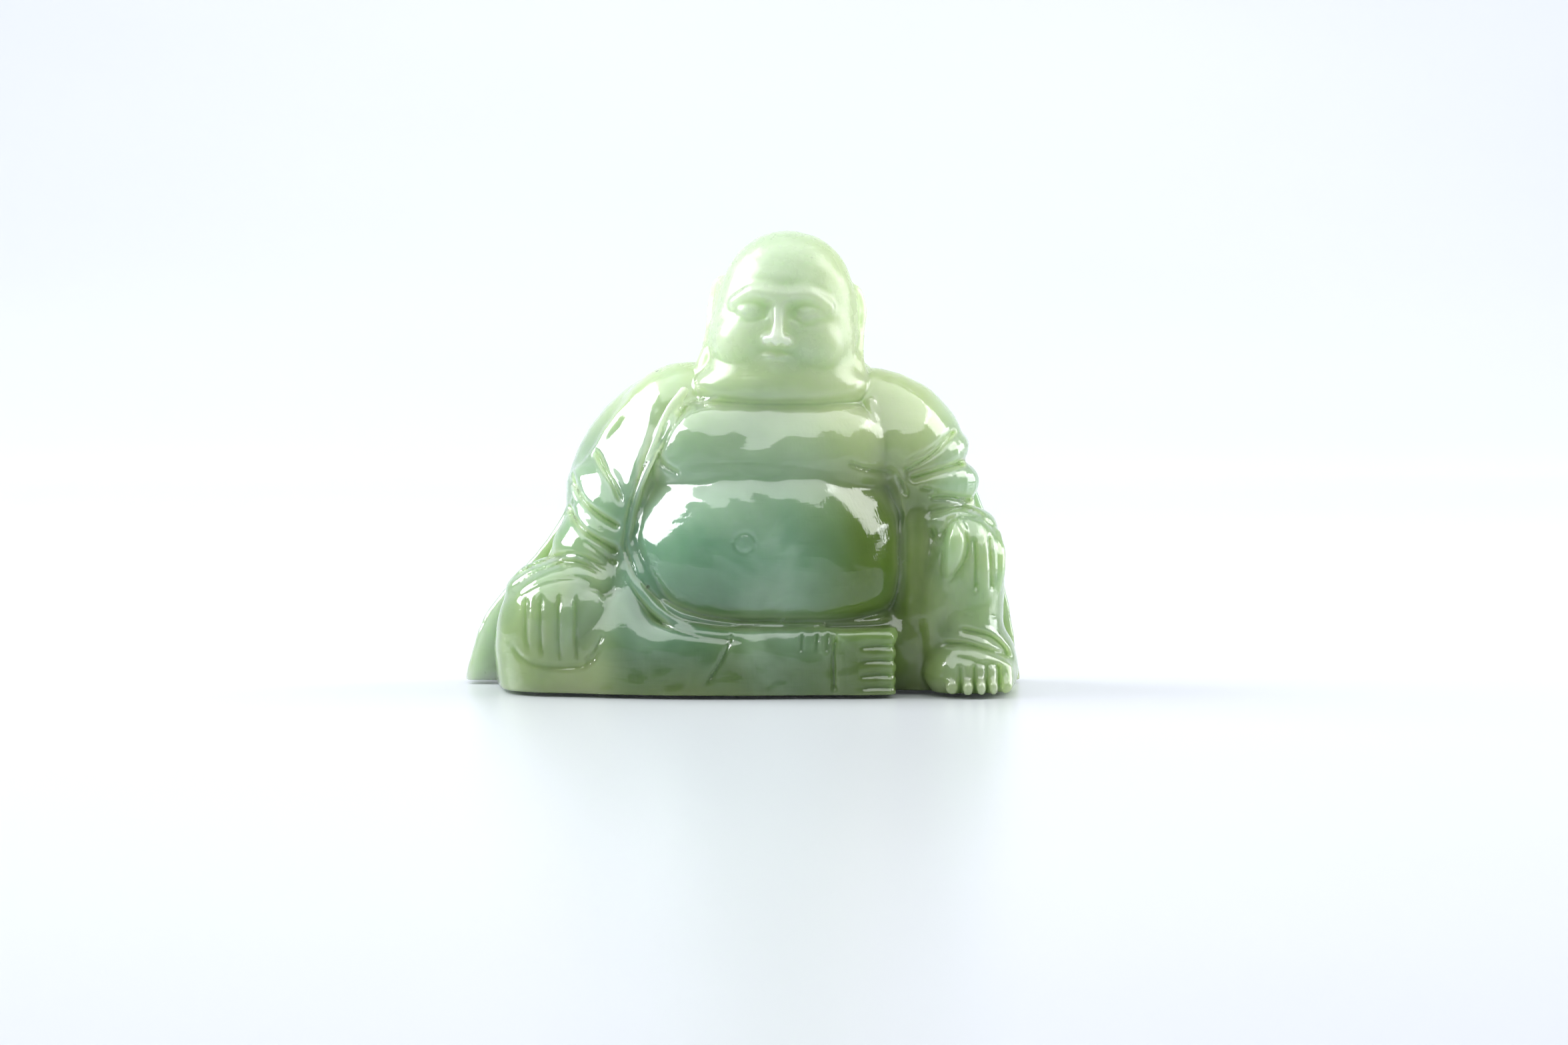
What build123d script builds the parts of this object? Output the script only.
from build123d import *
import os

# A seated figurine carved from one block of green stone, divided into its carved regions.
#
# Millimetres, +Z up. The figure faces -Y, its own left side is at +X, and the middle of its flat
# underside is the origin. The real carving is a single stone, so the regions meet face to face, with
# no gap or overlap between them, and together they fill the stone. Each region is one node.

# Driving dimensions of the whole carving.
WIDTH = 60.0
DEPTH = 28.0
HEIGHT = 48.5
HALF_WIDTH = WIDTH / 2
FRONT = -DEPTH / 2
BACK = DEPTH / 2

# Head: the crown leans a little towards the figure's left.
HEAD_X = 4.5
HEAD_LEAN = 3.5
SKULL_RADII = (7.3, 7.5, 7.7)
FACE_RADII = (7.7, 6.8, 6.4)
FACE_HEIGHT = 36.8
EAR_OUT = 7.9
EAR_RADII = (1.3, 2.6, 5.2)
EAR_HEIGHT = 37.0
EAR_SPLAY = 7.0
LOBE_RADII = (1.5, 1.9, 2.6)
LOBE_HEIGHT = 32.6
LOBE_SPLAY = 10.0
NECK_RADII = (8.6, 7.2, 2.6)
NECK_HEIGHT = 31.6

# Torso: carved a little to the figure's left of the block's middle.
TORSO_X = 2.6
BELLY_RADII = (14.6, 10.4, 9.2)
BELLY_HEIGHT = 15.6
CHEST_RADII = (12.6, 8.4, 8.2)
CHEST_HEIGHT = 26.2

# Robe.
MANTLE_FRONT = -1.0
MANTLE_DOME = (41.0, 12.5, 43.0)
TRAIN_FRONT = 5.0
BAND_RADIUS = 1.1
HEM_RADIUS = 1.4
COLLAR_RADIUS = 1.6
FOLDS = 3
RIGHT_FOLD_RADII = (2.0, 4.4, 5.2)
RIGHT_FOLD_STEP = 2.7
LEFT_FOLD_RADII = (4.8, 5.2, 2.0)
LEFT_FOLD_STEP = 2.5

# Turns a surface's poles to its sides, clear of the folds stacked above and below it.
POLES_SIDEWAYS = (0, 90, 0)

# Hands: the carver gave each four fingers.
FINGERS = 4
RIGHT_FINGER_RADII = (1.1, 1.9, 3.8)
RIGHT_FINGER_PITCH = 1.8
LEFT_FINGER_RADII = (1.05, 1.5, 3.2)
LEFT_FINGER_PITCH = 1.9

# Legs and feet.
BAR_HEIGHT = 7.4
BAR_ROUNDING = 2.0
ANKLE_X = 10.0
SIDE_TOES = 4
SIDE_TOE_RADII = (3.2, 2.3, 0.95)
SIDE_TOE_PITCH = 1.6
TOES = 5
TOE_RADII = (0.95, 2.1, 1.5)
TOE_PITCH = 1.7


def ellipsoid(centre, radii, turn=(0, 0, 0), poles=(0, 0, 0)):
    """A closed ellipsoid, turned about its own axes in degrees.

    poles turns the surface's own seam and poles, which are best kept away from where it meets others.
    """
    return Pos(*centre) * Rot(*turn) * scale(Rot(*poles) * Sphere(1), by=radii)


def band(points, radius):
    """A bar of round section along one smooth curve through the points."""
    path = Spline(*points)
    return sweep(Plane(origin=path @ 0, z_dir=path % 0) * Circle(radius), path=path)


def slab(outline, y_near, y_far):
    """An upright plate with the given outline in XZ."""
    face = Plane(origin=(0, y_far, 0), x_dir=(1, 0, 0), z_dir=(0, -1, 0)) * outline
    return extrude(face, amount=y_far - y_near)


def dome():
    """The rounded back of the block."""
    return ellipsoid((1.0, BACK - MANTLE_DOME[1], 0), MANTLE_DOME)


def head():
    skull = ellipsoid((HEAD_X + 0.4, -0.5, HEIGHT - SKULL_RADII[2]), SKULL_RADII, (0, HEAD_LEAN, 0))
    face = ellipsoid((HEAD_X - 0.2, -1.5, FACE_HEIGHT), FACE_RADII, (0, HEAD_LEAN, 0))
    return skull + face


def ear(side):
    """side is +1 for the figure's left ear and -1 for its right."""
    x = HEAD_X + side * EAR_OUT
    shell = ellipsoid((x + side * 0.2, 1.4, EAR_HEIGHT), EAR_RADII, (0, -side * EAR_SPLAY, 0))
    lobe = ellipsoid((x + side * 1.0, 0.2, LOBE_HEIGHT), LOBE_RADII, (0, -side * LOBE_SPLAY, 0))
    return shell + lobe


def neck():
    return ellipsoid((HEAD_X - 0.4, -0.6, NECK_HEIGHT), NECK_RADII)


def chest():
    return ellipsoid((TORSO_X + 1.0, -0.8, CHEST_HEIGHT), CHEST_RADII)


def belly():
    return ellipsoid((TORSO_X, -2.4, BELLY_HEIGHT), BELLY_RADII)


def lapel_right():
    return band([(-5.4, -5.4, 31.4), (-8.6, -7.0, 27.2), (-11.0, -7.8, 22.0), (-12.2, -8.8, 15.0)], BAND_RADIUS)


def lapel_left():
    return band([(12.8, -5.4, 30.8), (15.4, -6.8, 27.0), (16.4, -7.8, 22.0), (16.8, -8.4, 15.0)], BAND_RADIUS)


def robe_hem():
    """The robe's edge where it runs under the belly, from lap to lap."""
    return band([(-12.2, -8.8, 13.4), (-8.2, -10.8, 9.2), (2.0, -12.2, 7.0), (14.6, -10.6, 7.4)], HEM_RADIUS)


def shoulder_right():
    arm = ellipsoid((-9.2, 0.6, 25.4), (6.8, 7.2, 9.2), (0, 34, 0))
    return arm + ellipsoid((-4.0, 1.6, 29.0), (6.4, 6.0, 5.2))


def shoulder_left():
    arm = ellipsoid((17.0, 0.6, 25.4), (6.4, 7.0, 8.2), (0, -38, 0))
    return arm + ellipsoid((12.4, 1.6, 28.4), (6.0, 5.6, 5.2))


def sleeve_folds_right():
    """Three rolls of cloth pushed up above the bent elbow, over the sleeve itself."""
    folds = ellipsoid((-13.6, -1.6, 18.4), (5.0, 6.0, 7.6), (0, 20, 0))
    for i in range(FOLDS):
        folds += ellipsoid((-14.6 + 0.1 * i, -3.6, 22.2 - RIGHT_FOLD_STEP * i), RIGHT_FOLD_RADII, (-20, -38, 0))
    return folds


def sleeve_folds_left():
    folds = ellipsoid((19.0, -1.2, 20.6), (5.4, 6.2, 6.0), poles=POLES_SIDEWAYS)
    for i in range(FOLDS):
        turn = (0, -18 + 11 * i, 0)
        at = (20.2 + 0.3 * i, -2.8, 23.4 - LEFT_FOLD_STEP * i)
        folds += ellipsoid(at, LEFT_FOLD_RADII, turn, POLES_SIDEWAYS)
    return folds


def cuff_right():
    return ellipsoid((-18.0, -3.6, 12.6), (7.0, 6.0, 3.4), (0, -8, 0))


def cuff_left():
    return ellipsoid((22.6, -4.2, 16.2), (5.0, 5.0, 2.6), (0, 8, 0))


def hand_right():
    """The back of the hand over the knee, with four fingers hanging down in front."""
    hand = ellipsoid((-19.4, -8.2, 9.2), (5.4, 4.2, 3.4))
    for i in range(FINGERS):
        hand += ellipsoid((-23.2 + RIGHT_FINGER_PITCH * i, -11.2 - 0.2 * i, 6.2), RIGHT_FINGER_RADII, (8, 0, 0))
    return hand


def hand_left():
    hand = ellipsoid((23.6, -7.2, 14.6), (4.3, 3.4, 2.9))
    for i in range(FINGERS):
        hand += ellipsoid((21.0 + LEFT_FINGER_PITCH * i, -9.4, 12.0), LEFT_FINGER_RADII, (6, 0, 0))
    return hand


def leg_right():
    """The lower leg lying across the front, from the knee at the figure's right to the ankle."""
    knee = ellipsoid((-19.4, -3.6, 5.0), (7.6, 8.6, 8.8))
    front = Spline((-26.6, 3.0), (-24.6, -4.0), (-20.0, -9.6), (-10.0, -13.2), (-1.0, FRONT), (ANKLE_X, -13.0))
    ends = Polyline((ANKLE_X, -13.0), (ANKLE_X, 2.0), (-26.6, 3.0))
    bar = extrude(make_face(front + ends), amount=BAR_HEIGHT)
    brow = bar.edges().filter_by(lambda edge: edge.center().Z > BAR_HEIGHT - 0.01).sort_by(Axis.Y)[0]
    return knee + fillet(brow, BAR_ROUNDING)


def leg_left():
    """The raised leg at the figure's left: its knee is up and its foot is flat."""
    shin = ellipsoid((23.0, -3.6, 7.0), (5.4, 7.8, 11.0))
    ankle = ellipsoid((23.2, -5.0, 3.0), (5.6, 7.4, 5.4))
    return shin + ankle


def foot_right():
    """The tucked foot, its side forward and its toes towards the figure's left."""
    foot = ellipsoid((10.4, -8.4, 2.8), (4.4, 4.4, 4.0))
    for i in range(SIDE_TOES):
        foot += ellipsoid((12.8, -10.4, 0.9 + SIDE_TOE_PITCH * i), SIDE_TOE_RADII)
    return foot


def foot_left():
    foot = ellipsoid((23.6, -8.8, 2.6), (4.9, 4.2, 3.2))
    for i in range(TOES):
        foot += ellipsoid((20.6 + TOE_PITCH * i, -11.8, 0.8), TOE_RADII)
    return foot


def lap():
    """The cloth between the belly, the two legs and the ground."""
    right = ellipsoid((-9.4, -2.4, 8.0), (9.0, 8.2, 9.6), (0, -14, 0))
    middle = ellipsoid((5.0, -3.4, 3.0), (12.6, 8.6, 8.0))
    valley = ellipsoid((17.2, -2.0, 5.0), (3.6, 7.8, 15.4))
    return right + middle + valley


def mantle_outline():
    """The robe's outline from the front, from the ground over the shoulders and back down."""
    right = Spline((-24.0, 0.0), (-21.6, 11.0), (-18.0, 20.0), (-13.6, 28.6), (-8.0, 33.0), (0.0, 34.6))
    left = Spline((0.0, 34.6), (9.6, 34.4), (16.6, 32.0), (22.2, 26.0), (25.4, 16.0), (26.4, 0.0))
    return make_face(right + left + Line((26.4, 0.0), (-24.0, 0.0)))


def mantle():
    """The robe over the back and shoulders, domed behind."""
    return slab(mantle_outline(), MANTLE_FRONT, BACK + 1) & dome()


def train_right():
    """The robe's end, spread on the ground beside the figure's right hip."""
    edge = Spline((-HALF_WIDTH, 0.0), (-28.2, 6.6), (-24.6, 11.6), (-21.0, 15.6), (-17.0, 22.0))
    rest = Polyline((-17.0, 22.0), (-14.0, 22.0), (-14.0, 0.0), (-HALF_WIDTH, 0.0))
    return slab(make_face(edge + rest), TRAIN_FRONT, BACK + 1) & dome()


def train_left():
    """The robe's end beside the figure's left hip."""
    edge = Spline((HALF_WIDTH, 0.0), (29.0, 6.0), (27.6, 11.0), (25.0, 18.0))
    rest = Polyline((25.0, 18.0), (22.0, 18.0), (22.0, 0.0), (HALF_WIDTH, 0.0))
    return slab(make_face(edge + rest), TRAIN_FRONT, BACK + 1) & dome()


def collar():
    """The robe's thick collar roll behind the neck."""
    route = [(-5.4, 1.6, 32.4), (-2.0, 6.4, 33.8), (4.4, 8.2, 34.4), (10.4, 6.2, 33.6), (13.4, 1.4, 32.0)]
    return band(route, COLLAR_RADIUS)


def regions():
    """Every region's full shape, foremost first: each is cut back by those before it."""
    return {
        "head": head(),
        "ear_left": ear(1),
        "ear_right": ear(-1),
        "hand_right": hand_right(),
        "hand_left": hand_left(),
        "foot_right": foot_right(),
        "foot_left": foot_left(),
        "lapel_right": lapel_right(),
        "lapel_left": lapel_left(),
        "robe_hem": robe_hem(),
        "neck": neck(),
        "collar": collar(),
        "belly": belly(),
        "chest": chest(),
        "cuff_right": cuff_right(),
        "cuff_left": cuff_left(),
        "sleeve_folds_right": sleeve_folds_right(),
        "sleeve_folds_left": sleeve_folds_left(),
        "shoulder_right": shoulder_right(),
        "shoulder_left": shoulder_left(),
        "leg_right": leg_right(),
        "leg_left": leg_left(),
        "lap": lap(),
        "mantle": mantle(),
        "train_right": train_right(),
        "train_left": train_left(),
    }


def boxes_meet(a, b):
    one, two = a.bounding_box(), b.bounding_box()
    return all(p <= q for p, q in zip(one.min, two.max)) and all(p <= q for p, q in zip(two.min, one.max))


def largest(shape):
    """The biggest solid of a cut shape, without the crumbs that the cut leaves."""
    return shape.solids().sort_by(SortBy.VOLUME)[-1]


def main():
    os.makedirs("parts", exist_ok=True)
    block = Box(WIDTH, DEPTH, HEIGHT, align=(Align.CENTER, Align.CENTER, Align.MIN))
    before = []
    for name, full in regions().items():
        piece = full & block
        for other in before:
            if boxes_meet(piece, other):
                piece = largest(piece - other)
        before.append(full)
        export_step(largest(piece), f"parts/{name}.step")


main()
